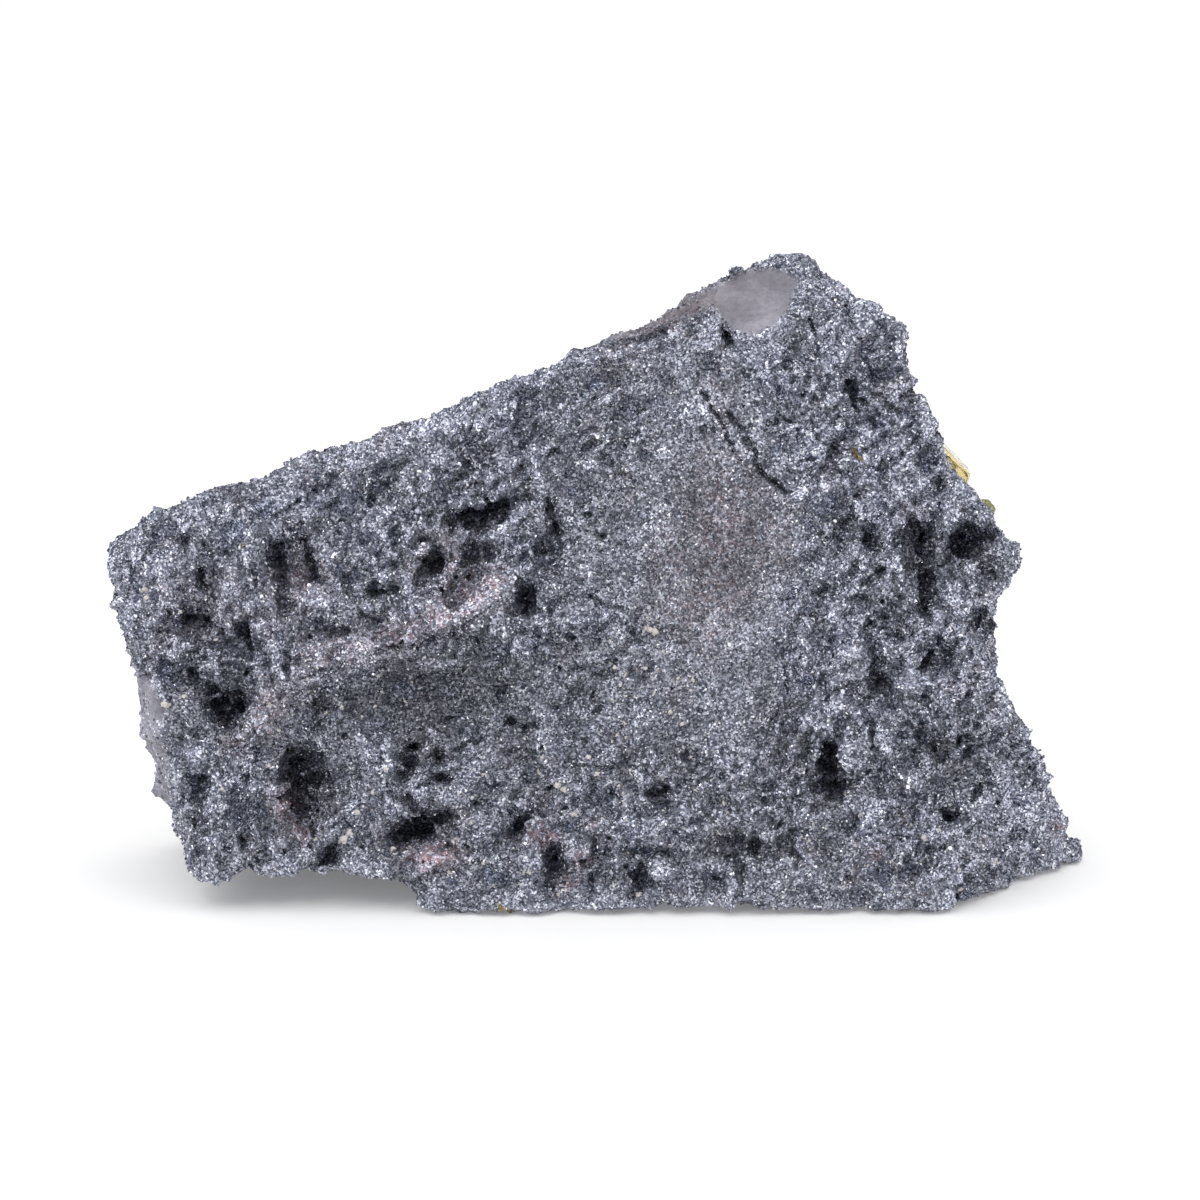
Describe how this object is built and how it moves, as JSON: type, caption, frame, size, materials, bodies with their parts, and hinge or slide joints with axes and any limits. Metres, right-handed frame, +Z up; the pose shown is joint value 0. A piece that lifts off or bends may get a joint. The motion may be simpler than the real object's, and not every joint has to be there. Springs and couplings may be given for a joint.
{
  "type": "sturmanite specimen",
  "caption": "Wedge-shaped piece of glittering, vuggy dark hematite ore with a small group of honey-yellow sturmanite crystals on its back.",
  "frame": {"origin": "middle of the underside of the specimen's bounding box, on the surface it rests on", "axes": "+X to the right along the broad front face, +Y towards the crystals on the back, +Z up"},
  "size_m": [0.0608, 0.0254, 0.0386],
  "materials": {
    "hematite_ore": "glittering, rough",
    "honey_crystal": "translucent, glossy"
  },
  "bodies": {
    "root": {"matrix": "hematite_ore", "sturmanite_main": "honey_crystal", "sturmanite_small": "honey_crystal"}
  },
  "joints": []
}
